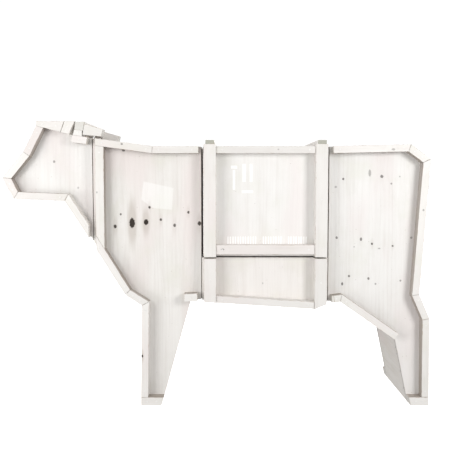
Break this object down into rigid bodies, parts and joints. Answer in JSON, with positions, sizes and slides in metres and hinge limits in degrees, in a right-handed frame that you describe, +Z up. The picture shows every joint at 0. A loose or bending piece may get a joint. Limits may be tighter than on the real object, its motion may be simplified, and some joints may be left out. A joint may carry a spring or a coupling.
{
  "type": "cow-shaped crate cabinet",
  "caption": "Life-size cow silhouette built as whitewashed timber crate boxes, with battened sides, box legs and a deep lid in the back hinged at its far lower edge.",
  "frame": {"origin": "on the floor, under the middle of the overall length and of the depth", "axes": "+X from head to tail along the body, +Y from the near side to the hinge side, +Z up"},
  "size_m": [1.935, 0.5145, 1.298],
  "materials": {
    "whitewashed_panel": "whitewashed fir panel, vertical grain with knots, matt",
    "whitewashed_board": "whitewashed fir board, matt",
    "whitewashed_batten": "whitewashed sawn fir batten, matt",
    "zinc_hinge": "zinc plated",
    "zinc_bolt": "zinc plated",
    "screw_steel": "dull steel, partly painted over",
    "felt_pad": "grey felt strip"
  },
  "bodies": {
    "crate": {"head_panel_near": "whitewashed_panel", "head_panel_far": "whitewashed_panel", "front_panel_near": "whitewashed_panel", "front_panel_far": "whitewashed_panel", "belly_panel_near": "whitewashed_panel", "belly_panel_far": "whitewashed_panel", "rear_panel_near": "whitewashed_panel", "rear_panel_far": "whitewashed_panel", "nape_board": "whitewashed_board", "brow_boards": "whitewashed_board", "nose_boards": "whitewashed_board", "muzzle_board": "whitewashed_board", "jaw_board": "whitewashed_board", "throat_board": "whitewashed_board", "head_bulkhead": "whitewashed_board", "neck_bulkhead": "whitewashed_board", "chest_boards": "whitewashed_board", "front_shin_board": "whitewashed_board", "front_leg_board": "whitewashed_board", "front_belly_board": "whitewashed_board", "front_bulkhead": "whitewashed_board", "withers_boards": "whitewashed_board", "soles": "whitewashed_board", "belly_floor": "whitewashed_board", "belly_end_front": "whitewashed_board", "belly_end_rear": "whitewashed_board", "thigh_boards": "whitewashed_board", "rear_leg_board": "whitewashed_board", "rear_shin_boards": "whitewashed_board", "haunch_board": "whitewashed_board", "rump_board": "whitewashed_board", "loin_board": "whitewashed_board", "rear_bulkhead": "whitewashed_board", "head_battens_near": "whitewashed_batten", "head_battens_far": "whitewashed_batten", "front_battens_near": "whitewashed_batten", "front_battens_far": "whitewashed_batten", "belly_battens_near": "whitewashed_batten", "belly_battens_far": "whitewashed_batten", "rear_battens_near": "whitewashed_batten", "rear_battens_far": "whitewashed_batten", "poll_bar": "whitewashed_batten", "ears": "whitewashed_batten", "lid_pads": "felt_pad", "hinge_leaves_belly": "zinc_hinge", "hinge_pins": "zinc_hinge", "joining_bolts": "zinc_bolt", "joining_washers": "zinc_bolt", "joining_nuts": "zinc_bolt", "crate_screws": "screw_steel"},
    "lid": {"lid_panel_near": "whitewashed_panel", "lid_panel_far": "whitewashed_panel", "lid_end_front": "whitewashed_board", "lid_end_rear": "whitewashed_board", "lid_top": "whitewashed_board", "lid_battens_near": "whitewashed_batten", "lid_battens_far": "whitewashed_batten", "lid_straps": "whitewashed_batten", "hinge_leaves_lid": "zinc_hinge", "lid_screws": "screw_steel"}
  },
  "joints": [
    {"name": "lid_hinge", "type": "hinge", "parent": "crate", "child": "lid", "pos_m": [0.2145, 0.25, 0.6895], "axis": [-1, 0, 0], "range_deg": [0, 100]}
  ]
}
